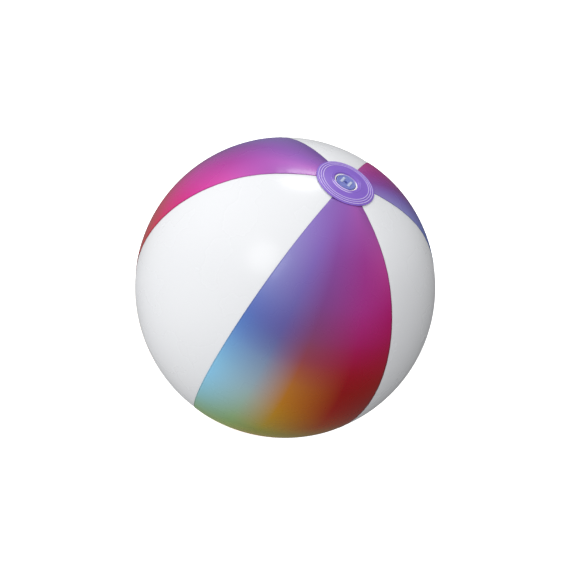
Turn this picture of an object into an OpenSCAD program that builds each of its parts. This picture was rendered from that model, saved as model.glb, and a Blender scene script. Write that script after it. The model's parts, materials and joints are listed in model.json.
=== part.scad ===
// Inflatable beach ball: six welded film panels, two pole patches and a push-in valve.
// +Z runs through both poles, with the valve at the top. The origin is the ball's centre.
// Panel seams stand every 60 degrees, starting on -Y, where the stopper's strap is too.

/* [Ball] */
// Outside diameter at the equator, inflated
ball_d = 324; // [280:1:420]
// Thickness of the panel film
film_t = 0.25; // [0.2:0.05:0.4]
// Width of a printed panel as seen, in degrees of longitude
printed_span = 62; // [60:1:64]
// Width of a white panel hidden under each printed edge, in degrees of longitude
lap_span = 1.6; // [1:0.2:3]
// How far each pole sits below a true sphere
pole_dip = 2.4; // [0:0.2:4]

/* [Patches] */
// Diameter of the round patch welded over each pole
patch_d = 60.6; // [58:0.2:68]
// Thickness of the patch film
patch_t = 0.4; // [0.3:0.05:0.5]
// Number of raised weld rings round each patch
ring_count = 3; // [1:1:3]
// Distance from one weld ring to the next
ring_pitch = 2.3; // [1.5:0.1:2.4]

/* [Valve] */
// Diameter of the hole in the top patch
well_d = 24.8; // [24.6:0.2:26]
// Diameter of the flange welded under the top patch
flange_d = 39; // [34:0.5:41]
// Diameter of the inflation bore
bore_d = 8; // [7.9:0.05:8.2]
// Outside diameter of the stem
stem_d = 11.2; // [10.8:0.2:12]
// Length of the stem
stem_l = 16; // [14:0.5:22]

/* [Stopper] */
// Diameter of the stopper's head
head_d = 19.8; // [18:0.2:19.9]
// Thickness of the stopper's head at its edge
head_t = 1.6; // [1.2:0.1:1.7]
// Width of the strap between stem and stopper
strap_w = 3; // [2:0.2:3.4]

/* [Hidden] */
$fn = 144;

// Colours
print_violet = [0.58, 0.30, 0.68];
panel_white = [0.95, 0.96, 0.97];
patch_violet = [0.52, 0.39, 0.80];
valve_blue = [0.60, 0.70, 0.88];

// Ball: layers of film are kept apart by layer_gap, which stands for the weld
layer_gap = 0.2;
ball_r = ball_d / 2;
crown_r = ball_r - pole_dip;
pair_span = 120;
first_seam = -90;
white_place = 0.75;
dip_in = 12;
dip_out = 40;
panel_end_r = 21.5;
panel_end_t = asin(panel_end_r / crown_r);
profile_steps = 60;
white_inset = film_t + layer_gap;

// Patches
patch_low = layer_gap;
patch_high = patch_low + patch_t;
ring_r = 0.45;
ring_edge = 2.1;
ring_sink = 0.05;
lip_r = 0.6;
arc_fn = 360;
small_fn = 32;

// Valve heights are measured from valve_z, the patch's surface at the edge of the hole
well_r = well_d / 2;
valve_z = sqrt(pow(crown_r + patch_high, 2) - pow(well_r, 2));
flange_gap = 0.05;
flange_high = -0.1;
flange_t = 0.9;

// Stem: the mouth is a cone that guides the plug
bore_r = bore_d / 2;
stem_r = stem_d / 2;
stem_top = -3;
stem_bottom = stem_top - stem_l;
mouth_flare = 1;
mouth_r = bore_r + mouth_flare;
mouth_depth = 2;
collar_r = 7.6;
collar_t = 1.2;
boss_out = 1;
boss_r = stem_r + boss_out;
boss_t = 1;
boot_t = 0.6;
boot_top = -0.8;
boot_low = -7.4;
boot_bend = 2.2;
seat_r = 10.4;
seat_t = 0.8;
seat_top = -1.6;
seat_notch = 18;

// Check flap
flap_t = 0.7;
flap_r = 5;
flap_drop = 0.5;
flap_z = stem_bottom - flap_drop;
flap_hinge_y = 5.5;
flap_bead_r = 0.42;
flap_tab_w = 4;

// Stopper: the plug tapers so that it swings clear of the bore
head_r = head_d / 2;
head_top = -1.3;
head_low = head_top - head_t;
plug_gap = 0.07;
plug_l = 5;
plug_tip_r = 2.6;
rim_inset = 0.9;
rim_bead_r = 0.5;
dimple_r = 1.8;
dimple_depth = 2.4;
rib_x = 4;
rib_w = 1.6;
rib_l = 8;
rib_h = 0.8;

// Strap: out from the stem's collar, up the side of the well, and over a fold to the head
hinge_y = -10.8;
hinge_z = -0.5;
strap_t = 0.6;
fold_in_r = 0.1;
fold_out_r = fold_in_r + strap_t;
strap_low = -3.9;
strap_head_z = -2.1;
joint_gap = 0.05;

function smooth(u) = u * u * (3 - 2 * u);
function unit(u) = max(0, min(1, u));

// Depth of the ball's outline below a true sphere, t degrees from the pole
function pole_drop(t) = pole_dip * (1 - smooth(unit((t - dip_in) / (dip_out - dip_in))));
function outline(t, inset) = (ball_r - pole_drop(min(t, 180 - t)) - inset) * [sin(t), cos(t)];
function panel_t(i) = panel_end_t + i * (180 - 2 * panel_end_t) / profile_steps;

// Height of a sphere that stands offset above the crown, r from the axis
function crown_z(r, offset) = sqrt(pow(crown_r + offset, 2) - pow(r, 2));

// One gore of film, from patch to patch
module panel(start, span, inset) {
    outer = [for (i = [0 : profile_steps]) outline(panel_t(i), inset)];
    inner = [for (i = [profile_steps : -1 : 0]) outline(panel_t(i), inset + film_t)];
    rotate([0, 0, start])
        rotate_extrude(angle = span)
            polygon(concat(outer, inner));
}

module rainbow_panel(n) {
    edge = (printed_span - pair_span / 2) / 2;
    color(print_violet)
        panel(first_seam + (n - 1) * pair_span - edge, printed_span, 0);
}

module white_panel(n) {
    shown = pair_span - printed_span;
    middle = first_seam + (n - 1 + white_place) * pair_span;
    color(panel_white)
        panel(middle - shown / 2 - lap_span, shown + 2 * lap_span, white_inset);
}

// A ring of film on the crown, as a flat outline to be revolved
module crown_band(r_in, r_out, low, high) {
    intersection() {
        difference() {
            circle(crown_r + high, $fn = arc_fn);
            circle(crown_r + low, $fn = arc_fn);
        }
        translate([r_in, crown_r / 2])
            square([r_out - r_in, crown_r]);
    }
}

module patch_outline(r_in) {
    crown_band(r_in, patch_d / 2, patch_low, patch_high);
    for (i = [0 : ring_count - 1]) {
        r = patch_d / 2 - ring_edge - i * ring_pitch;
        translate([r, crown_z(r, patch_high - ring_sink)])
            circle(ring_r, $fn = small_fn);
    }
}

module top_patch() {
    lip_at = well_r + lip_r;
    color(patch_violet)
        rotate_extrude() {
            patch_outline(well_r);
            translate([lip_at, crown_z(lip_at, patch_high)])
                circle(lip_r, $fn = small_fn);
        }
}

module bottom_patch() {
    color(patch_violet)
        mirror([0, 0, 1])
            rotate_extrude()
                patch_outline(0);
}

module valve_flange() {
    color(valve_blue)
        rotate_extrude()
            crown_band(well_r + flange_gap, flange_d / 2, flange_high - flange_t, flange_high);
}

// Ring that stands in from the boot's wall round the stopper's head, open where the strap is
module boot_seat() {
    rotate([0, 0, seat_notch - 90])
        rotate_extrude(angle = 360 - 2 * seat_notch)
            translate([seat_r, seat_top - seat_t])
                square([well_r - boot_t / 2 - seat_r, seat_t]);
}

// The soft web that folds into the well when the valve is pushed in
module valve_boot() {
    outer_r = well_r;
    bend_x = outer_r - boot_t / 2 - boot_bend;
    bend_z = boot_low + boot_bend;
    out_r = boot_bend + boot_t / 2;
    in_r = boot_bend - boot_t / 2;
    bends = 8;
    outside = [for (i = [0 : bends])
        [bend_x + out_r * cos(-90 * i / bends), bend_z + out_r * sin(-90 * i / bends)]];
    inside = [for (i = [bends : -1 : 0])
        [bend_x + in_r * cos(-90 * i / bends), bend_z + in_r * sin(-90 * i / bends)]];
    root_r = boss_r + joint_gap;
    color(valve_blue)
        translate([0, 0, valve_z]) {
            rotate_extrude()
                polygon(concat(
                    [[outer_r, boot_top]], outside, [[root_r, boot_low - boot_t / 2]],
                    [[root_r, boot_low + boot_t / 2]], inside, [[outer_r - boot_t, boot_top]]
                ));
            boot_seat();
        }
}

module valve_stem() {
    boss_z = boot_low - boss_t / 2;
    color(valve_blue)
        translate([0, 0, valve_z])
            rotate_extrude()
                polygon([
                    [bore_r, stem_bottom], [stem_r, stem_bottom],
                    [stem_r, boss_z], [boss_r, boss_z],
                    [boss_r, boss_z + boss_t], [stem_r, boss_z + boss_t],
                    [stem_r, stem_top - collar_t], [collar_r, stem_top - collar_t],
                    [collar_r, stem_top], [mouth_r, stem_top],
                    [bore_r, stem_top - mouth_depth]
                ]);
}

// Soft disc under the stem, hung from a bead along its hinge
module check_flap() {
    color(panel_white)
        translate([0, 0, valve_z + flap_z]) {
            translate([0, 0, -flap_t / 2])
                cylinder(h = flap_t, r = flap_r);
            translate([-flap_tab_w / 2, 0, -flap_t / 2])
                cube([flap_tab_w, flap_hinge_y, flap_t]);
            translate([-flap_tab_w / 2, flap_hinge_y, 0])
                rotate([0, 90, 0])
                    cylinder(h = flap_tab_w, r = flap_bead_r);
        }
}

module grip_rib(side) {
    translate([side * rib_x - rib_w / 2, -rib_l / 2, head_top - head_t / 2])
        cube([rib_w, rib_l, rib_h + head_t / 2]);
}

module stopper() {
    color(valve_blue)
        translate([0, 0, valve_z]) {
            difference() {
                rotate_extrude()
                    polygon([
                        [0, head_top], [head_r, head_top], [head_r, head_low],
                        [mouth_r, head_low], [mouth_r - plug_gap, stem_top],
                        [bore_r - plug_gap, stem_top - mouth_depth],
                        [plug_tip_r, stem_top - plug_l], [0, stem_top - plug_l]
                    ]);
                translate([0, 0, head_top - dimple_depth])
                    cylinder(h = 2 * dimple_depth, r = dimple_r);
            }
            rotate_extrude()
                translate([head_r - rim_inset, head_top])
                    circle(rim_bead_r, $fn = small_fn);
            grip_rib(-1);
            grip_rib(1);
        }
}

// Side view of the strap, with y across and z up
module strap_outline() {
    leg_out = hinge_y - fold_out_r;
    leg_in = hinge_y + fold_in_r;
    root = -collar_r - joint_gap;
    tip = -head_r - joint_gap;
    translate([leg_out, strap_low])
        square([root - leg_out, strap_t]);
    translate([leg_out, strap_low])
        square([strap_t, hinge_z - strap_low]);
    translate([leg_in, strap_head_z - strap_t / 2])
        square([strap_t, hinge_z - strap_head_z + strap_t / 2]);
    translate([leg_in, strap_head_z - strap_t / 2])
        square([tip - leg_in, strap_t]);
    translate([hinge_y, hinge_z])
        intersection() {
            difference() {
                circle(fold_out_r, $fn = small_fn);
                circle(fold_in_r, $fn = small_fn);
            }
            translate([-strap_t * 2, 0])
                square(strap_t * 4);
        }
}

module stopper_strap() {
    color(valve_blue)
        translate([-strap_w / 2, 0, valve_z])
            rotate([90, 0, 90])
                linear_extrude(strap_w)
                    strap_outline();
}

rainbow_panel(1);  // rainbow_panel_1
rainbow_panel(2);  // rainbow_panel_2
rainbow_panel(3);  // rainbow_panel_3
white_panel(1);  // white_panel_1
white_panel(2);  // white_panel_2
white_panel(3);  // white_panel_3
top_patch();
bottom_patch();
valve_flange();
valve_boot();
valve_stem();
check_flap();
stopper();
stopper_strap();
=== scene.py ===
"""Looks of an inflatable beach ball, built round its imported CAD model.

Mesh sizes are in millimetres until a mesh is made, and metres after that. +Z runs through both
poles, with the valve on top, and the panel seams stand every 60 degrees from -Y.
"""

import json
import math

import bmesh
import bpy
from mathutils import Matrix, Vector


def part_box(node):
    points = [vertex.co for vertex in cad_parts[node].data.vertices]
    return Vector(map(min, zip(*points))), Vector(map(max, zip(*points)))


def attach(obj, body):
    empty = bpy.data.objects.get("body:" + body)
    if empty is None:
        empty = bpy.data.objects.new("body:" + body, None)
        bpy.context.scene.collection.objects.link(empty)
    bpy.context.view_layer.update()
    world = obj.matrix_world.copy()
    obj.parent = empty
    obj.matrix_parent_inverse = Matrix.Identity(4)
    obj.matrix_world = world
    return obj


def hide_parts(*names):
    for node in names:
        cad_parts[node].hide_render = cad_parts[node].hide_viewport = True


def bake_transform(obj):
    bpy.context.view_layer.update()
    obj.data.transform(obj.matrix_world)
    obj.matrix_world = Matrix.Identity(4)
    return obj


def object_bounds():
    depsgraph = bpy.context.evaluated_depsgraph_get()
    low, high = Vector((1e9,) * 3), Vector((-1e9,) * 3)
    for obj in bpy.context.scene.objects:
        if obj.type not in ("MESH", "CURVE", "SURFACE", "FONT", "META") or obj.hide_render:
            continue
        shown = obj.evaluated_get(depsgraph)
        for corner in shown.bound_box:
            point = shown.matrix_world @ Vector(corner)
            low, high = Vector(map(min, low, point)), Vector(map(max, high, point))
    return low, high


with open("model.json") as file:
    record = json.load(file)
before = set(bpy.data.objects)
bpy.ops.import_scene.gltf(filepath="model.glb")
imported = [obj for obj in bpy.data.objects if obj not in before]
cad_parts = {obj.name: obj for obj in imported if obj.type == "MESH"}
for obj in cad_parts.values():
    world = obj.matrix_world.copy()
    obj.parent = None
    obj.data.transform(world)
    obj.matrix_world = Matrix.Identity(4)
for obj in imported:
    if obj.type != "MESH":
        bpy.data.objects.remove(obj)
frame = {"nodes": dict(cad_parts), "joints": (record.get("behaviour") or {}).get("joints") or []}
cad_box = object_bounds()

MM = 0.001
DEGREE = math.pi / 180


# ---------------------------------------------------------------- sizes, in mm


def box_mm(node):
    """Lowest and highest corner of a CAD node, in millimetres."""
    low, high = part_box(node)
    return low / MM, high / MM


def joint_mm(name):
    """A hinge's place, in millimetres."""
    joint = next(j for j in frame["joints"] if j["name"] == name)
    return Vector(joint["pos_m"]) / MM


BALL_R = 162.0
POLE_DIP = 2.4
CROWN_R = BALL_R - POLE_DIP
DIP_IN, DIP_OUT = 12.0, 40.0
FILM = 0.25
PAIR_SPAN, PRINTED_SPAN, LAP_SPAN = 120.0, 62.0, 1.6
PRINTED_PLACE, WHITE_PLACE = 0.25, 0.75
FIRST_SEAM = -90.0
PANEL_END_R = 21.5
WHITE_INSET = 0.42

PATCH_R = box_mm("top_patch")[1].x
PATCH_LOW, PATCH_HIGH = 0.2, 0.6
WELL_R = 12.4
RING_EDGE, RING_PITCH, RING_COUNT = 2.1, 2.3, 3

VALVE_Z = math.sqrt((CROWN_R + PATCH_HIGH) ** 2 - WELL_R**2)
HEAD_R = box_mm("stopper")[1].x
STEM_LOW, STEM_HIGH = box_mm("valve_stem")[0].z, box_mm("valve_stem")[1].z
COLLAR_R = box_mm("valve_stem")[1].x
BOOT_R = box_mm("valve_boot")[1].x
BOOT_HIGH = box_mm("valve_boot")[1].z
BOOT_LOW = box_mm("valve_boot")[0].z
HINGE = joint_mm("stopper_hinge")
STRAP_W = 2 * box_mm("stopper_strap")[1].x


# ---------------------------------------------------------------- camera

VIEW_AZIMUTH = 7.25
VIEW_POLAR = 47.11
POLE_LEAN = 30.07
DISTANCE_IN_RADII = 5.117
VIEW_DISTANCE = DISTANCE_IN_RADII * BALL_R * MM
LENS, SENSOR = 47.25, 36.0
IMAGE_SIDE = 576
CENTRE_LEFT, CENTRE_UP = 2.8, 0.6


def view_axes():
    """The camera's right, up and backward directions in the ball's frame."""
    azimuth, polar, lean = (a * DEGREE for a in (VIEW_AZIMUTH, VIEW_POLAR, POLE_LEAN))
    flat = math.sin(polar)
    back = Vector((math.sin(azimuth) * flat, -math.cos(azimuth) * flat, math.cos(polar)))
    pole_up = (Vector((0, 0, 1)) - back * back.z).normalized()
    level_right = (-back).cross(pole_up)
    up = math.cos(lean) * pole_up - math.sin(lean) * level_right
    right = math.sin(lean) * pole_up + math.cos(lean) * level_right
    return right, up, back


RIGHT, UP, BACK = view_axes()


def from_view(x, y, z):
    """A direction given as right, up and towards the camera, in the ball's frame."""
    return (RIGHT * x + UP * y + BACK * z).normalized()


def add_camera():
    """A camera on the view's axis, turned so that the ball leans as it does from that side."""
    data = bpy.data.cameras.new("camera")
    data.lens, data.sensor_width = LENS, SENSOR
    data.shift_x = CENTRE_LEFT / IMAGE_SIDE
    data.shift_y = -CENTRE_UP / IMAGE_SIDE
    camera = bpy.data.objects.new("camera", data)
    bpy.context.scene.collection.objects.link(camera)
    turn = Matrix((RIGHT, UP, BACK)).transposed().to_4x4()
    camera.matrix_world = Matrix.Translation(BACK * VIEW_DISTANCE) @ turn
    bpy.context.scene.camera = camera


# ---------------------------------------------------------------- light and floor


STUDIO_FROM = from_view(-0.33, 0.48, 0.81)
STUDIO_MIDDLE, STUDIO_SLOPE, STUDIO_LEAST = 0.52, 0.49, 0.27
WALL_FROM, WALL_STRENGTH = from_view(-0.94, 0.05, -0.32), 0.45
GLOSS_SHARE = 0.45
SOFTBOXES = (
    ("key", from_view(-0.24, 0.34, 0.91), 1.6, (0.62, 0.62), 2.6),
    ("top", from_view(0.20, 0.96, 0.12), 1.4, (0.45, 0.16), 2.8),
)
FLOOR_HALF, FLOOR_GREY, FLOOR_ROUGHNESS, FLOOR_GLOW = 20.0, 0.92, 0.9, 0.8


def add_softbox(name, direction, distance, size, watts):
    """A round or oval area light that faces the ball, with its width level in the picture."""
    data = bpy.data.lights.new(name, "AREA")
    data.shape = "ELLIPSE"
    data.size, data.size_y = size
    data.energy = watts
    light = bpy.data.objects.new(name, data)
    bpy.context.scene.collection.objects.link(light)
    side = (RIGHT - direction * RIGHT.dot(direction)).normalized()
    turn = Matrix((side, direction.cross(side), direction)).transposed().to_4x4()
    light.matrix_world = Matrix.Translation(direction * distance) @ turn


def add_world():
    """White surroundings, brighter towards the key light, with a pale wall on the left.

    Reflections see them dimmed, and the camera sees plain white.
    """
    world = bpy.data.worlds.new("studio")
    bpy.context.scene.world = world
    world.use_nodes = True
    nodes, links = world.node_tree.nodes, world.node_tree.links
    nodes.clear()
    place = nodes.new("ShaderNodeTexCoord")

    def facing(direction, gain, base):
        """A strength that rises by gain towards a direction, from base at right angles to it."""
        towards = nodes.new("ShaderNodeVectorMath")
        towards.operation = "DOT_PRODUCT"
        towards.inputs[1].default_value = direction
        slope = nodes.new("ShaderNodeMath")
        slope.operation = "MULTIPLY_ADD"
        slope.inputs[1].default_value = gain
        slope.inputs[2].default_value = base
        links.new(place.outputs["Generated"], towards.inputs[0])
        links.new(towards.outputs["Value"], slope.inputs[0])
        return slope

    def combined(operation, first, second):
        """Two strengths, or a strength and a number, put together by one sum."""
        node = nodes.new("ShaderNodeMath")
        node.operation = operation
        links.new(first.outputs[0], node.inputs[0])
        if isinstance(second, float):
            node.inputs[1].default_value = second
        else:
            links.new(second.outputs[0], node.inputs[1])
        return node

    general = combined("MAXIMUM", facing(STUDIO_FROM, STUDIO_SLOPE, STUDIO_MIDDLE), STUDIO_LEAST)
    wall = combined("MAXIMUM", facing(WALL_FROM, WALL_STRENGTH, 0.0), 0.0)
    both = combined("ADD", general, wall)
    seen = nodes.new("ShaderNodeLightPath")
    share = nodes.new("ShaderNodeMapRange")
    share.inputs["To Min"].default_value = 1.0
    share.inputs["To Max"].default_value = GLOSS_SHARE
    links.new(seen.outputs["Is Glossy Ray"], share.inputs["Value"])
    lit = combined("MULTIPLY", both, share)
    pick = nodes.new("ShaderNodeMix")
    pick.inputs["B"].default_value = 1.0
    glow = nodes.new("ShaderNodeBackground")
    glow.inputs["Color"].default_value = (1, 1, 1, 1)
    out = nodes.new("ShaderNodeOutputWorld")
    links.new(seen.outputs["Is Camera Ray"], pick.inputs["Factor"])
    links.new(lit.outputs["Value"], pick.inputs["A"])
    links.new(pick.outputs["Result"], glow.inputs["Strength"])
    links.new(glow.outputs["Background"], out.inputs["Surface"])


def add_floor():
    """A plain pale floor that glows a little and throws no light back on the ball."""
    side = FLOOR_HALF
    mesh = bpy.data.meshes.new("floor")
    height = cad_box[0].z
    corners = [(x * side, y * side, height) for x, y in ((-1, -1), (1, -1), (1, 1), (-1, 1))]
    mesh.from_pydata(corners, [], [(0, 1, 2, 3)])
    floor = bpy.data.objects.new("floor", mesh)
    bpy.context.scene.collection.objects.link(floor)
    material = bpy.data.materials.new("pale_floor")
    material.use_nodes = True
    shader = material.node_tree.nodes["Principled BSDF"]
    shader.inputs["Base Color"].default_value = (FLOOR_GREY, FLOOR_GREY, FLOOR_GREY, 1)
    shader.inputs["Roughness"].default_value = FLOOR_ROUGHNESS
    shader.inputs["Emission Color"].default_value = (1, 1, 1, 1)
    shader.inputs["Emission Strength"].default_value = FLOOR_GLOW
    mesh.materials.append(material)
    floor.visible_diffuse = False
    floor.visible_glossy = False


# ---------------------------------------------------------------- shape helpers


def smooth(u):
    u = max(0.0, min(1.0, u))
    return u * u * (3 - 2 * u)


def bump(distance, width):
    """A rounded ridge one unit high, as wide at its foot as twice width."""
    return math.cos(min(1.0, abs(distance) / width) * math.pi / 2) ** 2


def outline_r(t):
    """Distance of the ball's skin from its centre, t degrees from a pole."""
    near = min(t, 180 - t)
    return BALL_R - POLE_DIP * (1 - smooth((near - DIP_IN) / (DIP_OUT - DIP_IN)))


def crown_z(r, offset):
    """Height of a sphere that stands offset above the crown, r from the axis."""
    return math.sqrt((CROWN_R + offset) ** 2 - r * r)


def new_object(name, mesh):
    mesh.validate()
    mesh.update()
    mesh.shade_smooth()
    made = bpy.data.objects.new(name, mesh)
    bpy.context.scene.collection.objects.link(made)
    return made


def tidy_mesh(mesh):
    """Joins points that coincide and turns every face outward."""
    work = bmesh.new()
    work.from_mesh(mesh)
    bmesh.ops.remove_doubles(work, verts=work.verts, dist=1e-7)
    bmesh.ops.dissolve_degenerate(work, edges=work.edges, dist=1e-8)
    bmesh.ops.recalc_face_normals(work, faces=work.faces)
    work.to_mesh(mesh)
    work.free()


def lathe(name, outline, steps=160, lift=None, lower=False, tone=None, draw=None):
    """Turns an outline of (r, z) points round the axis. A closed outline starts off the axis.

    lift(x, y, r, z) gives a change of height, tone(x, y, r, z) says from 0 to 1 how far a painted
    highlight lightens the material, draw(x, y, r, z) gives a change of radius, and lower turns the
    result upside down.
    """
    on_axis = outline[0][0] < 1e-6
    points, faces, places, tones = [], [], [], []
    run = [0.0]
    for (r0, z0), (r1, z1) in zip(outline, outline[1:]):
        run.append(run[-1] + math.hypot(r1 - r0, z1 - z0))
    for i in range(steps):
        angle = 2 * math.pi * i / steps
        for r, z in outline:
            x, y = r * math.cos(angle), r * math.sin(angle)
            if draw:
                wider = 1 + draw(x, y, r, z) / r
                x, y = x * wider, y * wider
            rise = lift(x, y, r, z) if lift else 0.0
            height = z + rise
            tones.append(tone(x, y, r, z) if tone else 0.0)
            points.append((x * MM, (-y if lower else y) * MM, (-height if lower else height) * MM))
    count = len(outline)
    rows = count - 1 if on_axis else count
    for i in range(steps):
        for j in range(rows):
            k = (j + 1) % count
            a, b = i * count, (i + 1) % steps * count
            faces.append((a + j, b + j, b + k, a + k))
            ends = (run[j], run[j + 1] if j + 1 < count else run[j] + 1e-3)
            for step, along in ((i, 0), (i + 1, 0), (i + 1, 1), (i, 1)):
                places.append((step / steps, ends[along] / run[-1]))
    mesh = bpy.data.meshes.new(name)
    mesh.from_pydata(points, [], faces)
    layer = mesh.uv_layers.new(name="UVMap")
    for loop, place in zip(layer.data, places):
        loop.uv = place
    # The tone attribute carries the painted highlight's strength to the material.
    if tone:
        mesh.attributes.new("tone", "FLOAT", "POINT").data.foreach_set("value", tones)
    tidy_mesh(mesh)
    return new_object(name, mesh)


def arc(centre_r, centre_z, radius, start, end, steps=8):
    """Points along an arc, with angles in degrees from the outward direction."""
    return [
        (
            centre_r + radius * math.cos((start + (end - start) * i / steps) * DEGREE),
            centre_z + radius * math.sin((start + (end - start) * i / steps) * DEGREE),
        )
        for i in range(steps + 1)
    ]


def rounded(corners, steps=5):
    """An outline with each (r, z, radius) corner turned into an arc."""
    made = []
    count = len(corners)
    for i in range(count):
        here = Vector(corners[i][:2])
        before = Vector(corners[i - 1][:2]) - here
        after = Vector(corners[(i + 1) % count][:2]) - here
        radius = corners[i][2]
        if radius <= 0 or here.x < 1e-6:
            made.append(tuple(here))
            continue
        half = before.angle(after) / 2
        reach = min(radius / math.tan(half), before.length * 0.49, after.length * 0.49)
        start, end = here + before.normalized() * reach, here + after.normalized() * reach
        for k in range(steps + 1):
            f = k / steps
            made.append(tuple((1 - f) ** 2 * start + 2 * f * (1 - f) * here + f * f * end))
    return made


# ---------------------------------------------------------------- materials


def linear(*rgb):
    """A display colour, 0 to 255 a channel, as the linear colour that nodes take."""
    parts = [c / 255 for c in rgb]
    return tuple(c / 12.92 if c <= 0.04045 else ((c + 0.055) / 1.055) ** 2.4 for c in parts)


FILM_IOR = 1.52
FILM_ROUGHNESS, SOFT_ROUGHNESS, ROUGHNESS_DRIFT = 0.27, 0.33, 0.035
CLOUD_SCALE, CLOUD_LOW, CLOUD_HIGH = 22.0, 0.3, 0.7
SKIN_SCALE, SKIN_STRENGTH, SKIN_DEPTH = 450.0, 0.15, 0.00002
GLOW_WEIGHT, GLOW_RADIUS, GLOW_DEPTH = 0.3, (0.6, 0.8, 1.0), 0.002


def film_material(name, roughness):
    """A glossy vinyl with a fine skin texture. Returns the material, its tree and its shader."""
    material = bpy.data.materials.new(name)
    material.use_nodes = True
    tree = material.node_tree
    nodes, links = tree.nodes, tree.links
    shader = nodes["Principled BSDF"]
    shader.inputs["IOR"].default_value = FILM_IOR
    place = nodes.new("ShaderNodeTexCoord")
    cloud = nodes.new("ShaderNodeTexNoise")
    cloud.inputs["Scale"].default_value = CLOUD_SCALE
    cloud.inputs["Detail"].default_value = 3.0
    spread = nodes.new("ShaderNodeMapRange")
    spread.clamp = False
    spread.inputs["From Min"].default_value = CLOUD_LOW
    spread.inputs["From Max"].default_value = CLOUD_HIGH
    spread.inputs["To Min"].default_value = roughness - ROUGHNESS_DRIFT
    spread.inputs["To Max"].default_value = roughness + ROUGHNESS_DRIFT
    skin = nodes.new("ShaderNodeTexNoise")
    skin.inputs["Scale"].default_value = SKIN_SCALE
    skin.inputs["Detail"].default_value = 2.0
    relief = nodes.new("ShaderNodeBump")
    relief.inputs["Strength"].default_value = SKIN_STRENGTH
    relief.inputs["Distance"].default_value = SKIN_DEPTH
    links.new(place.outputs["Object"], cloud.inputs["Vector"])
    links.new(place.outputs["Object"], skin.inputs["Vector"])
    links.new(cloud.outputs["Fac"], spread.inputs["Value"])
    links.new(spread.outputs["Result"], shader.inputs["Roughness"])
    links.new(skin.outputs["Fac"], relief.inputs["Height"])
    links.new(relief.outputs["Normal"], shader.inputs["Normal"])
    return material, tree, shader


def tinted(tree, shader, colour, darker, scale, pale=None):
    """A base colour that drifts a little towards a darker one, and is painted towards the pale
    colour, a painted highlight, where the tone attribute says.
    """
    nodes, links = tree.nodes, tree.links
    place = nodes.new("ShaderNodeTexCoord")
    cloud = nodes.new("ShaderNodeTexNoise")
    cloud.inputs["Scale"].default_value = scale
    cloud.inputs["Detail"].default_value = 4.0
    mix = nodes.new("ShaderNodeMix")
    mix.data_type = "RGBA"
    mix.inputs["A"].default_value = (*linear(*colour), 1)
    mix.inputs["B"].default_value = (*linear(*darker), 1)
    links.new(place.outputs["Object"], cloud.inputs["Vector"])
    links.new(cloud.outputs["Fac"], mix.inputs["Factor"])
    if pale is None:
        links.new(mix.outputs["Result"], shader.inputs["Base Color"])
        return
    # Painted highlight: the tone attribute mixes in the pale colour.
    tone = nodes.new("ShaderNodeAttribute")
    tone.attribute_name = "tone"
    lift = nodes.new("ShaderNodeMix")
    lift.data_type = "RGBA"
    lift.inputs["B"].default_value = (*linear(*pale), 1)
    links.new(tone.outputs["Fac"], lift.inputs["Factor"])
    links.new(mix.outputs["Result"], lift.inputs["A"])
    links.new(lift.outputs["Result"], shader.inputs["Base Color"])


PALETTE = {
    "orchid": (144, 94, 184),
    "lilac": (130, 92, 182),
    "iris": (142, 116, 198),
    "periwinkle": (142, 138, 204),
    "cornflower": (122, 132, 202),
    "blue": (86, 118, 196),
    "azure": (100, 150, 212),
    "sky": (126, 190, 230),
    "pale_sky": (138, 204, 238),
    "aqua": (138, 196, 200),
    "mint": (140, 190, 150),
    "leaf": (150, 185, 100),
    "lime": (205, 210, 80),
    "amethyst": (148, 90, 184),
    "violet": (136, 100, 188),
    "indigo": (114, 99, 178),
    "slate": (98, 96, 164),
    "haze_blue": (124, 142, 178),
    "sea_mist": (156, 182, 186),
    "sage": (152, 186, 146),
    "purple": (140, 72, 166),
    "plum": (130, 62, 142),
    "mulberry": (138, 62, 106),
    "clay": (160, 74, 74),
    "rust": (184, 110, 44),
    "ochre": (196, 132, 20),
    "mustard": (182, 152, 34),
    "olive": (168, 164, 42),
    "mauve": (164, 86, 178),
    "magenta": (160, 52, 150),
    "raspberry": (172, 36, 135),
    "cerise": (172, 12, 98),
    "crimson": (168, 0, 52),
    "red": (158, 2, 2),
    "vermilion": (166, 44, 0),
    "burnt_orange": (172, 94, 4),
    "heather": (146, 74, 158),
    "pink": (180, 64, 152),
    "fuchsia": (182, 22, 120),
    "ruby": (176, 0, 78),
    "scarlet": (165, 0, 25),
    "brick": (150, 24, 10),
    "amber": (240, 180, 50),
    "coral": (245, 120, 85),
    "rose": (230, 90, 125),
    "lemon": (245, 222, 80),
}

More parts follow.
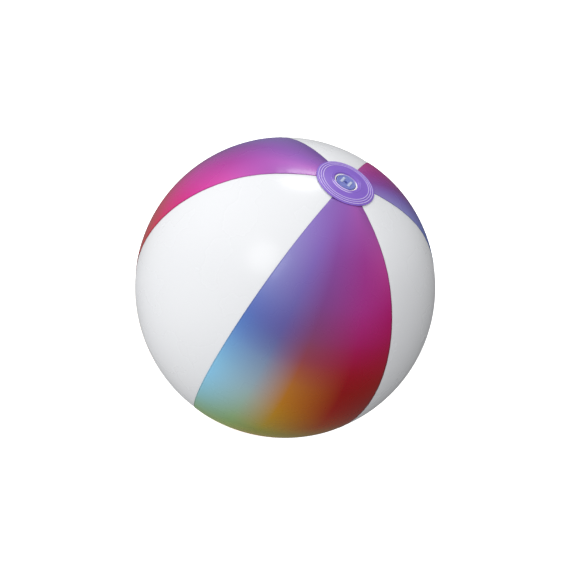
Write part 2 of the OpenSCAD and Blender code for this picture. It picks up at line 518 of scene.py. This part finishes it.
# The print down each of five lines, from the panel's violet edge to its red edge.
# Each stop is a colour and its degrees from the top pole.
PRINT_LINES = [
    [
        ("lilac", 10), ("iris", 22), ("periwinkle", 38), ("cornflower", 50), ("blue", 60),
        ("azure", 69), ("sky", 79), ("pale_sky", 90), ("aqua", 104), ("mint", 114),
        ("leaf", 128), ("lime", 142), ("lemon", 156), ("amber", 172),
    ],
    [
        ("orchid", 10), ("violet", 30), ("indigo", 48), ("slate", 62), ("haze_blue", 71),
        ("sea_mist", 85), ("sage", 100), ("leaf", 112), ("lime", 132), ("lemon", 150),
        ("amber", 168),
    ],
    [
        ("amethyst", 12), ("purple", 28), ("plum", 48), ("mulberry", 60), ("clay", 68),
        ("rust", 76), ("ochre", 88), ("mustard", 102), ("olive", 112), ("amber", 134),
        ("coral", 154), ("rose", 170),
    ],
    [
        ("mauve", 12), ("magenta", 30), ("raspberry", 48), ("cerise", 59), ("crimson", 67),
        ("red", 78), ("vermilion", 92), ("burnt_orange", 102), ("mustard", 114),
        ("amber", 132), ("coral", 150), ("rose", 168),
    ],
    [
        ("heather", 14), ("pink", 30), ("fuchsia", 46), ("ruby", 60), ("scarlet", 72),
        ("brick", 88), ("vermilion", 98), ("burnt_orange", 110), ("coral", 134),
        ("rose", 154), ("mauve", 172),
    ],
]


LINE_PLACES = (0.0, 0.24, 0.43, 0.74, 1.0)
MARGIN, MARGIN_SHADE = 0.012, 0.7


def ramp(tree, stops, curve="CARDINAL"):
    """A colour ramp. Stops are (0 to 1, linear colour), and the places are set before the colours."""
    node = tree.nodes.new("ShaderNodeValToRGB")
    strip = node.color_ramp
    strip.interpolation = curve
    while len(strip.elements) < len(stops):
        strip.elements.new(0.5)
    for element, (at, _) in zip(strip.elements, stops):
        element.position = at
    for element, (_, colour) in zip(strip.elements, stops):
        element.color = (*colour, 1)
    return node


def printed_material(name, light_and_shade):
    """The blended rainbow print: five lines of colour, mixed across the panel.

    It is multiplied by painted light and shade: by the first scale at the panel's violet edge, and
    by the second at its red edge. A narrow margin along both edges is darker.
    """
    material, tree, shader = film_material(name, FILM_ROUGHNESS)
    nodes, links = tree.nodes, tree.links
    uv = nodes.new("ShaderNodeUVMap")
    uv.uv_map = "UVMap"
    split = nodes.new("ShaderNodeSeparateXYZ")
    links.new(uv.outputs["UV"], split.inputs["Vector"])
    total = None
    for i, line in enumerate(PRINT_LINES):
        colours = ramp(tree, [(t / 180, linear(*PALETTE[hue])) for hue, t in line])
        weights = [(place, (float(k == i),) * 3) for k, place in enumerate(LINE_PLACES)]
        share = ramp(tree, weights, "LINEAR")
        part = nodes.new("ShaderNodeVectorMath")
        part.operation = "MULTIPLY_ADD"
        links.new(split.outputs["Y"], colours.inputs["Fac"])
        links.new(split.outputs["X"], share.inputs["Fac"])
        links.new(colours.outputs["Color"], part.inputs[0])
        links.new(share.outputs["Color"], part.inputs[1])
        if total is None:
            part.inputs[2].default_value = (0, 0, 0)
        else:
            links.new(total.outputs["Vector"], part.inputs[2])
        total = part
    margin = nodes.new("ShaderNodeMath")
    margin.operation = "PINGPONG"
    margin.inputs[1].default_value = 0.5
    weld = nodes.new("ShaderNodeMapRange")
    weld.inputs["From Max"].default_value = MARGIN
    weld.inputs["To Min"].default_value = MARGIN_SHADE
    # Painted light and shade: the print is brightened or darkened across the panel.
    lift = nodes.new("ShaderNodeMapRange")
    lift.inputs["To Min"].default_value, lift.inputs["To Max"].default_value = light_and_shade
    strength = nodes.new("ShaderNodeMath")
    strength.operation = "MULTIPLY"
    links.new(split.outputs["X"], lift.inputs["Value"])
    links.new(lift.outputs["Result"], strength.inputs[0])
    links.new(weld.outputs["Result"], strength.inputs[1])
    shaded = nodes.new("ShaderNodeVectorMath")
    shaded.operation = "SCALE"
    links.new(split.outputs["X"], margin.inputs[0])
    links.new(margin.outputs["Value"], weld.inputs["Value"])
    links.new(total.outputs["Vector"], shaded.inputs[0])
    links.new(strength.outputs["Value"], shaded.inputs["Scale"])
    links.new(shaded.outputs["Vector"], shader.inputs["Base Color"])
    return material


def white_material():
    material, tree, shader = film_material("white_film", FILM_ROUGHNESS)
    tinted(tree, shader, (243, 244, 246), (236, 238, 242), 6.0)
    return material


def patch_material():
    material, tree, shader = film_material("violet_patch", SOFT_ROUGHNESS)
    # The pale colour is the painted highlight on the beads and the lip.
    tinted(tree, shader, (144, 108, 212), (130, 92, 202), 40.0, pale=(232, 216, 255))
    return material


def valve_material(name, colour, darker, pale):
    """Soft moulded vinyl, which lets a little light through."""
    material, tree, shader = film_material(name, SOFT_ROUGHNESS)
    tinted(tree, shader, colour, darker, 90.0, pale)
    shader.inputs["Subsurface Weight"].default_value = GLOW_WEIGHT
    shader.inputs["Subsurface Radius"].default_value = GLOW_RADIUS
    shader.inputs["Subsurface Scale"].default_value = GLOW_DEPTH
    return material


# ---------------------------------------------------------------- panels

ROWS = 200
COLUMNS = 64
SEAM_VALLEY, VALLEY_WIDTH = 0.3, 5.0
POLE_VALLEY, POLE_VALLEY_WIDTH = 0.5, 2.5
VALLEY_SHIFT, RELIEF_REACH = 0.2, 60.0
PUCKER, PUCKER_REACH = 0.05, 9.0
LONG_WAVE, LONG_TURN = 2.3, 1.7
SHORT_WAVE, SHORT_TURN, SHORT_SHARE = 1.37, 2.9, 0.6
PRINT_PHASES = (0.0, -14.0, 10.0)
# Painted light and shade for each panel's print, at its violet edge and at its red edge.
PANEL_LIGHT_AND_SHADE = ((1.0, 1.0), (0.95, 0.95), (0.7, 1.4))


def seam_relief(angle, t):
    """How far the skin stands out, in mm, at an angle round the axis and t degrees from the pole.

    Each seam lies in a valley, VALLEY_SHIFT degrees towards the printed panel's edge, and the
    film beside it puckers in two waves.
    """
    r = outline_r(t) * math.sin(t * DEGREE)
    along = BALL_R * t * DEGREE
    pull = 1 - smooth((min(t, 180 - t) - DIP_IN) / (DIP_OUT - DIP_IN))
    height = 0.0
    for seam in range(6):
        side = 1 if seam % 2 == 0 else -1
        at = FIRST_SEAM + seam * PAIR_SPAN / 2 - side * VALLEY_SHIFT
        away = (angle - at + 180) % 360 - 180
        gap = away * DEGREE * r
        if abs(gap) > RELIEF_REACH:
            continue
        depth = SEAM_VALLEY + POLE_VALLEY * pull
        width = VALLEY_WIDTH + POLE_VALLEY_WIDTH * pull
        height -= depth * math.exp(-abs(gap) / width)
        waves = math.sin(along / LONG_WAVE + seam * LONG_TURN)
        waves += SHORT_SHARE * math.sin(along / SHORT_WAVE + seam * SHORT_TURN)
        height += PUCKER * waves * math.exp(-abs(gap) / PUCKER_REACH)
    return height


def panel(name, centre, span, inset, phase=0.0):
    """One gore of film: its outer skin as a grid, thickened inward by a modifier.

    The print starts phase degrees further down the gore.
    """
    end_t = math.asin(PANEL_END_R / CROWN_R) / DEGREE
    points, faces, places = [], [], []
    for i in range(COLUMNS + 1):
        across = i / COLUMNS
        angle = centre - span / 2 + span * across
        for j in range(ROWS + 1):
            t = end_t + (180 - 2 * end_t) * j / ROWS
            r = outline_r(t) - inset + seam_relief(angle, t)
            flat = r * math.sin(t * DEGREE)
            x, y = flat * math.cos(angle * DEGREE), flat * math.sin(angle * DEGREE)
            points.append((x * MM, y * MM, r * math.cos(t * DEGREE) * MM))
    for i in range(COLUMNS):
        for j in range(ROWS):
            a, b = i * (ROWS + 1) + j, (i + 1) * (ROWS + 1) + j
            faces.append((a, a + 1, b + 1, b))
            for step, row in ((i, j), (i, j + 1), (i + 1, j + 1), (i + 1, j)):
                t = end_t + (180 - 2 * end_t) * row / ROWS
                places.append((step / COLUMNS, (t - phase) / 180))
    mesh = bpy.data.meshes.new(name)
    mesh.from_pydata(points, [], faces)
    layer = mesh.uv_layers.new(name="UVMap")
    for loop, place in zip(layer.data, places):
        loop.uv = place
    made = new_object(name, mesh)
    thick = made.modifiers.new("film", "SOLIDIFY")
    thick.thickness = FILM * MM
    thick.offset = -1
    return made


def add_panels():
    white = white_material()
    shown = PAIR_SPAN - PRINTED_SPAN
    for n in range(3):
        first = FIRST_SEAM + n * PAIR_SPAN
        middle = first + PRINTED_PLACE * PAIR_SPAN
        rainbow = panel(f"rainbow_film_{n + 1}", middle, PRINTED_SPAN, 0, PRINT_PHASES[n])
        rainbow.data.materials.append(printed_material(f"rainbow_print_{n + 1}", PANEL_LIGHT_AND_SHADE[n]))
        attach(rainbow, "ball")
        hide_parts(f"rainbow_panel_{n + 1}")
        middle = first + WHITE_PLACE * PAIR_SPAN
        plain = panel(f"white_film_{n + 1}", middle, shown + 2 * LAP_SPAN, WHITE_INSET)
        plain.data.materials.append(white)
        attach(plain, "ball")
        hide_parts(f"white_panel_{n + 1}")


# ---------------------------------------------------------------- patches

RING_HEIGHT, RING_WIDTH = 0.45, 0.62
RINGS = [PATCH_R - RING_EDGE - i * RING_PITCH for i in range(RING_COUNT)]
INNER_RING, INNER_RING_HEIGHT, INNER_RING_WIDTH = WELL_R + 2.9, 0.22, 0.7
# Painted highlights: how pale the pressed beads are painted, and the two lines on the lip that get
# painted highlight strokes.
BEAD_HIGHLIGHT = 0.85
LIP_LINE, LIP_RISE, LIP_REACH = WELL_R + 0.7, 0.9, 2.2
LIP_HIGHLIGHT_LINES, LIP_HIGHLIGHT_WIDTH = (WELL_R + 1.5, WELL_R + 3.3), 0.65
STRAP_SIDE_START, STRAP_SIDE_SPAN = 0.58, 0.36
PATCH_EDGE, PATCH_STEP, UNDER_STEPS = 0.2, 0.12, 16
SHOULDER = 1.3
SKIRT_OUT_R, SKIRT_IN_R, SKIRT_DEPTH, SKIRT_STEPS = 12.12, 11.95, 1.4, 4
SKIRT_TUCK = 0.4


def ridge(distance, width):
    """A steep rounded ridge one unit high, as a pressed bead."""
    share = abs(distance) / width
    return math.sqrt(1 - share * share) if share < 1 else 0.0


def patch_top(r):
    """Height of a patch's outer face, r from the axis."""
    beads = sum(RING_HEIGHT * ridge(r - at, RING_WIDTH) for at in RINGS)
    inner = INNER_RING_HEIGHT * bump(r - INNER_RING, INNER_RING_WIDTH) if r > WELL_R else 0.0
    return crown_z(r, PATCH_HIGH) + beads + inner


def strap_side(x, y):
    """One on the strap's side of the axis, and zero beyond about 55 degrees from it."""
    facing = -y / max(math.hypot(x, y), 1.0)
    return smooth((facing - STRAP_SIDE_START) / STRAP_SIDE_SPAN)


def lip_rise(x, y, r, z):
    """The film stands up round the well where the strap folds beneath it."""
    return LIP_RISE * strap_side(x, y) * bump(r - LIP_LINE, LIP_REACH)


def patch_highlight(x, y, r, z):
    """A painted highlight: paler film on the pressed beads, and painted highlight strokes on the lip,
    strongest over the strap.
    """
    on_bead = max(bump(r - at, RING_WIDTH) for at in RINGS)
    on_lip_highlight = max(bump(r - at, LIP_HIGHLIGHT_WIDTH) for at in LIP_HIGHLIGHT_LINES)
    return max(BEAD_HIGHLIGHT * on_bead, strap_side(x, y) * on_lip_highlight)


def patch_outline(inner_r):
    """The patch's section, from its hole or its middle outward and back underneath."""
    edge = PATCH_R - PATCH_EDGE
    start = inner_r + SHOULDER if inner_r else 0.0
    steps = round((edge - start) / PATCH_STEP)
    top = []
    for i in range(steps + 1):
        r = start + (edge - start) * i / steps
        top.append((r, patch_top(r)))
    rim_z = (crown_z(edge, PATCH_LOW) + crown_z(edge, PATCH_HIGH)) / 2
    rim = arc(edge, rim_z, PATCH_EDGE, 80, -80, 6)
    under = []
    for i in range(UNDER_STEPS):
        r = edge - (edge - inner_r) * (i + 0.5) / UNDER_STEPS
        under.append((r, crown_z(r, PATCH_LOW)))
    if not inner_r:
        return top + rim + under + [(0.0, crown_z(0, PATCH_LOW))]
    low = VALVE_Z - SKIRT_DEPTH
    crest = crown_z(start, PATCH_HIGH)
    roll = start - SKIRT_IN_R
    skirt = [(SKIRT_OUT_R, crown_z(SKIRT_OUT_R, PATCH_LOW) - SKIRT_TUCK)]
    skirt += [(SKIRT_OUT_R, low), (SKIRT_IN_R, low)]
    rise = crest - roll - low
    skirt += [(SKIRT_IN_R, low + rise * i / SKIRT_STEPS) for i in range(1, SKIRT_STEPS)]
    shoulder = arc(start, crest - roll, roll, 180, 90, 14)[:-1]
    return skirt + shoulder + top + rim + under


def add_patches():
    violet = patch_material()
    for name, node, hole, lower in (
        ("valve_patch", "top_patch", WELL_R, False),
        ("base_patch", "bottom_patch", 0.0, True),
    ):
        lift = lip_rise if hole else None
        made = lathe(name, patch_outline(hole), steps=240, lift=lift, lower=lower, tone=patch_highlight)
        made.data.materials.append(violet)
        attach(made, "ball")
        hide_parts(node)


# ---------------------------------------------------------------- valve

BOOT_FILM = 0.6
BOOT_WALL_R = 12.15
SEAT_R, SEAT_T, SEAT_DEPTH = 10.4, 0.8, 1.6
NOTCH_HALF, NOTCH_EASE = 14.0, 8.0
BOOT_BEND = 2.2
STEM_R, BORE_R = 5.6, 4.0
BOSS_R, BOSS_HALF = 6.6, 0.5
COLLAR_T = 1.2
MOUTH_R, MOUTH_DEPTH = 5.0, 2.0
BOOT_GAP = 0.02
# Where the seat ring's painted highlight starts, and how far it spreads.
HIGHLIGHT_START, HIGHLIGHT_SPAN = 0.45, 0.4


def boot_highlight(x, y, r, z):
    """A painted highlight: the seat ring is painted palest at its two sides along X."""
    if z < VALVE_Z - SEAT_DEPTH - SEAT_T:
        return 0.0
    return smooth((abs(x) / r - HIGHLIGHT_START) / HIGHLIGHT_SPAN)


def notch(x, y, r, z):
    """Draws the seat ring back to the wall where the strap passes it."""
    off = abs(math.atan2(x, -y)) / DEGREE
    kept = smooth((off - NOTCH_HALF) / NOTCH_EASE)
    on_seat = r < BOOT_WALL_R and z > VALVE_Z - SEAT_DEPTH - 2 * SEAT_T
    return (BOOT_WALL_R - r) * (1 - kept) if on_seat else 0.0


def add_boot(material):
    """The soft web between flange and stem."""
    outer, inner = BOOT_R, BOOT_WALL_R
    bend_r = BOOT_R - BOOT_FILM / 2 - BOOT_BEND
    bend_z = BOOT_LOW + BOOT_FILM / 2 + BOOT_BEND
    middle_z = BOOT_LOW + BOOT_FILM / 2
    root = BOSS_R + BOOT_GAP
    outside = [(outer, BOOT_HIGH + (bend_z - BOOT_HIGH) * i / 8) for i in range(9)]
    outside += arc(bend_r, bend_z, BOOT_BEND + BOOT_FILM / 2, -5, -90, 10)
    bottom = [(bend_r + (root - bend_r) * i / 6, BOOT_LOW) for i in range(1, 7)]
    top = [(root + (bend_r - root) * i / 6, middle_z + BOOT_FILM / 2) for i in range(7)]
    inside = arc(bend_r, bend_z, BOOT_BEND - BOOT_FILM / 2, -85, 0, 10)
    seat_z = VALVE_Z - SEAT_DEPTH - SEAT_T / 2
    inside += [(inner, bend_z + (seat_z - SEAT_T - bend_z) * i / 4) for i in range(1, 5)]
    inside += arc(SEAT_R + SEAT_T / 2, seat_z, SEAT_T / 2, 270, 90, 10)
    inside += [(inner, seat_z + SEAT_T / 2), (inner, BOOT_HIGH)]
    boot = lathe("valve_web", outside + bottom + top + inside, steps=180, tone=boot_highlight, draw=notch)
    boot.data.materials.append(material)
    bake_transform(boot)
    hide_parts("valve_boot")


def add_stem(material):
    boss_z = BOOT_LOW + BOOT_FILM / 2
    outline = rounded(
        [
            (BORE_R, STEM_LOW, 0.2), (STEM_R, STEM_LOW, 0.4),
            (STEM_R, boss_z - BOSS_HALF, 0.2), (BOSS_R, boss_z - BOSS_HALF, 0.2),
            (BOSS_R, boss_z + BOSS_HALF, 0.2), (STEM_R, boss_z + BOSS_HALF, 0.3),
            (STEM_R, STEM_HIGH - COLLAR_T, 0.3), (COLLAR_R, STEM_HIGH - COLLAR_T, 0.3),
            (COLLAR_R, STEM_HIGH, 0.3), (MOUTH_R, STEM_HIGH, 0.2),
            (BORE_R, STEM_HIGH - MOUTH_DEPTH, 0.5),
        ]
    )
    stem = lathe("valve_tube", outline, steps=120)
    stem.data.materials.append(material)
    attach(stem, "valve")
    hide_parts("valve_stem")


# ---------------------------------------------------------------- stopper

HEAD_T, HEAD_DEPTH = 1.6, 1.3
RIM_INSET, RIM_BEAD = 0.9, 0.5
DIMPLE_R, DIMPLE_DEPTH = 1.8, 2.4
RIB_X, RIB_W, RIB_L, RIB_H = 4.0, 1.9, 8.0, 0.8
PLUG_TIP_R = 2.6
PLUG_GAP = 0.07
# The painted highlight's strength on the ribs, and how softly the ribs' edges fall away.
RIB_HIGHLIGHT, RIB_EASE = 0.8, 0.7
FACE_MARGIN, FACE_TOLERANCE = 1.6, 0.05
HEAD_ROUND, RIM_WIDTH, FACE_STEPS = 0.3, 0.75, 70
DIMPLE_FOOT, DIMPLE_EDGE = 0.5, 0.4


def on_rib(x, y, r, z):
    """The strength of a painted highlight: at its set strength on the two grip ribs of the stopper's
    head, and zero off them.
    """
    if r > HEAD_R - FACE_MARGIN or z < VALVE_Z - HEAD_DEPTH - FACE_TOLERANCE:
        return 0.0
    across = max(0.0, abs(abs(x) - RIB_X) - RIB_W / 2)
    along = max(0.0, abs(y) - RIB_L / 2)
    return RIB_HIGHLIGHT * (1 - smooth(math.hypot(across, along) / RIB_EASE))


def rib_lift(x, y, r, z):
    """Height of the ribs above the stopper's face."""
    return RIB_H / RIB_HIGHLIGHT * on_rib(x, y, r, z)


def add_stopper(material):
    head_top = VALVE_Z - HEAD_DEPTH
    head_low = head_top - HEAD_T
    plug_low = box_mm("stopper")[0].z
    mouth_z = STEM_HIGH - MOUTH_DEPTH
    bead_at = HEAD_R - RIM_INSET
    top = [(0.0, head_top - DIMPLE_DEPTH), (DIMPLE_R * 0.5, head_top - DIMPLE_DEPTH)]
    foot_z = head_top - DIMPLE_DEPTH + DIMPLE_FOOT
    top += arc(DIMPLE_R - DIMPLE_FOOT, foot_z, DIMPLE_FOOT, -90, 0, 4)
    top += arc(DIMPLE_R + DIMPLE_EDGE, head_top - DIMPLE_EDGE, DIMPLE_EDGE, 180, 90, 4)
    face_start, face_end = DIMPLE_R + DIMPLE_EDGE, HEAD_R - HEAD_ROUND
    for i in range(1, FACE_STEPS + 1):
        r = face_start + (face_end - face_start) * i / FACE_STEPS
        top.append((r, head_top + RIM_BEAD * bump(r - bead_at, RIM_WIDTH)))
    side = arc(face_end, head_top - HEAD_ROUND, HEAD_ROUND, 80, 0, 4)
    side += arc(face_end, head_low + HEAD_ROUND, HEAD_ROUND, 0, -90, 4)
    plug = rounded(
        [
            (HEAD_R, head_low, 0), (MOUTH_R - PLUG_GAP, head_low, 0.2),
            (MOUTH_R - PLUG_GAP, STEM_HIGH, 0.0), (BORE_R - PLUG_GAP, mouth_z, 0.6),
            (PLUG_TIP_R, plug_low, 0.5), (0, plug_low, 0),
        ]
    )[1:]
    stopper = lathe("stopper_cap", top + side + plug, steps=200, lift=rib_lift, tone=on_rib)
    stopper.data.materials.append(material)
    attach(stopper, "stopper")
    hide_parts("stopper")


STRAP_T = 0.6
FOLD_IN = 0.1
PIN_R, PIN_T, PIN_REACH = 0.2, 0.25, 0.8
STRAP_BEND, TIP_BEND = 0.5, 0.25
TIP_RISE, ROOT_SINK, TIP_SINK = 0.9, 0.1, 0.3
BAND_SIDES, BAND_SQUARE, BAND_FLAT = 16, 0.35, 0.6


def even_thickness(y, z):
    """The strap's root is as thick as the strap all the way."""
    return STRAP_T


def strap_thickness(y, z):
    """The strap thins to a pin at the hinge axis, where it is folded."""
    thinned = smooth(1 - (HINGE.z - z) / PIN_REACH)
    return STRAP_T + (PIN_T - STRAP_T) * thinned


def band(name, path, width, thickness):
    """A flat band with rounded edges, along a path of (y, z) points. thickness(y, z) is its gauge."""
    section = []
    for k in range(BAND_SIDES):
        a = 2 * math.pi * (k + 0.5) / BAND_SIDES
        c, s = math.cos(a), math.sin(a)
        across = width / 2 * math.copysign(abs(c) ** BAND_SQUARE, c)
        section.append((across, math.copysign(abs(s) ** BAND_FLAT, s) / 2))
    points, faces, places = [], [], []
    count = len(section)
    for i, (y, z) in enumerate(path):
        y0, z0 = path[max(0, i - 1)]
        y1, z1 = path[min(len(path) - 1, i + 1)]
        tangent = Vector((y1 - y0, z1 - z0)).normalized()
        normal = Vector((-tangent.y, tangent.x))
        for across, share in section:
            out = share * thickness(y, z)
            points.append((across * MM, (y + normal.x * out) * MM, (z + normal.y * out) * MM))
    for i in range(len(path) - 1):
        for k in range(count):
            m = (k + 1) % count
            faces.append((i * count + k, i * count + m, (i + 1) * count + m, (i + 1) * count + k))
            for step, side in ((i, k), (i, k + 1), (i + 1, k + 1), (i + 1, k)):
                places.append((side / count, step / len(path)))
    last = (len(path) - 1) * count
    faces.append(tuple(range(count)))
    faces.append(tuple(last + k for k in range(count)))
    places += [(0.5, 0.5)] * (2 * count)
    mesh = bpy.data.meshes.new(name)
    mesh.from_pydata(points, [], faces)
    layer = mesh.uv_layers.new(name="UVMap")
    for loop, place in zip(layer.data, places):
        loop.uv = place
    tidy_mesh(mesh)
    return new_object(name, mesh)


def straight(start, end, steps):
    """Points along a straight line, both ends included."""
    return [
        (start[0] + (end[0] - start[0]) * i / steps, start[1] + (end[1] - start[1]) * i / steps)
        for i in range(steps + 1)
    ]


def add_strap(material):
    """The strap in two parts: its root on the stem, and the fold round the hinge to the stopper."""
    fold_r = FOLD_IN + STRAP_T / 2
    outer_y, inner_y = HINGE.y - fold_r, HINGE.y + fold_r
    low_z = STEM_HIGH - COLLAR_T / 2
    tip_z = STEM_HIGH + TIP_RISE
    middle_z = (low_z + HINGE.z) / 2
    bend = STRAP_BEND
    corner = [(outer_y + bend + a, low_z + bend + b) for a, b in arc(0, 0, bend, 270, 180, 6)]
    root = straight((-COLLAR_R + ROOT_SINK, low_z), (outer_y + bend, low_z), 8)[:-1]
    root += corner + straight((outer_y, low_z + bend), (outer_y, middle_z), 4)[1:]
    lean = [
        (fold_r + (PIN_R - fold_r) * smooth(i / 6), HINGE.z - PIN_REACH * (1 - i / 6))
        for i in range(7)
    ]
    fold = straight((outer_y, middle_z), (outer_y, HINGE.z - PIN_REACH), 6)[:-1]
    fold += [(HINGE.y - off, z) for off, z in lean[:-1]]
    fold += arc(HINGE.y, HINGE.z, PIN_R, 180, 0, 8)
    fold += [(HINGE.y + off, z) for off, z in lean[-2::-1]]
    fold += straight((inner_y, HINGE.z - PIN_REACH), (inner_y, tip_z + TIP_BEND), 4)[1:]
    turn = arc(0, 0, TIP_BEND, 180, 270, 4)
    fold += [(inner_y + a + TIP_BEND, tip_z + TIP_BEND + b) for a, b in turn][1:]
    fold += straight((inner_y + TIP_BEND, tip_z), (-HEAD_R + TIP_SINK, tip_z), 4)[1:]
    base = band("strap_root", root, STRAP_W, even_thickness)
    base.data.materials.append(material)
    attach(base, "valve")
    loop = band("strap_fold", fold, STRAP_W, strap_thickness)
    loop.data.materials.append(material)
    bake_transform(loop)
    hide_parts("stopper_strap")


def add_valve():
    """The made pieces of the valve, and materials for its flange and its flap."""
    # valve_vinyl's pale colour is the painted highlight on the stopper's ribs.
    blue = valve_material("valve_vinyl", (132, 142, 210), (114, 122, 196), pale=(206, 214, 234))
    clear = valve_material("flap_vinyl", (214, 222, 236), (200, 208, 226), (235, 238, 244))
    # clear_web's pale colour is the painted highlight on the seat ring's sides.
    web = valve_material("clear_web", (186, 168, 232), (172, 152, 222), (252, 248, 255))
    add_boot(web)
    add_stem(blue)
    add_stopper(blue)
    add_strap(blue)
    for node, material in (("valve_flange", blue), ("check_flap", clear)):
        mesh = frame["nodes"][node].data
        mesh.materials.clear()
        mesh.materials.append(material)


# ---------------------------------------------------------------- the scene

add_camera()
add_world()
add_floor()
for softbox in SOFTBOXES:
    add_softbox(*softbox)
add_panels()
add_patches()
add_valve()
bpy.context.scene.view_settings.view_transform = "Standard"
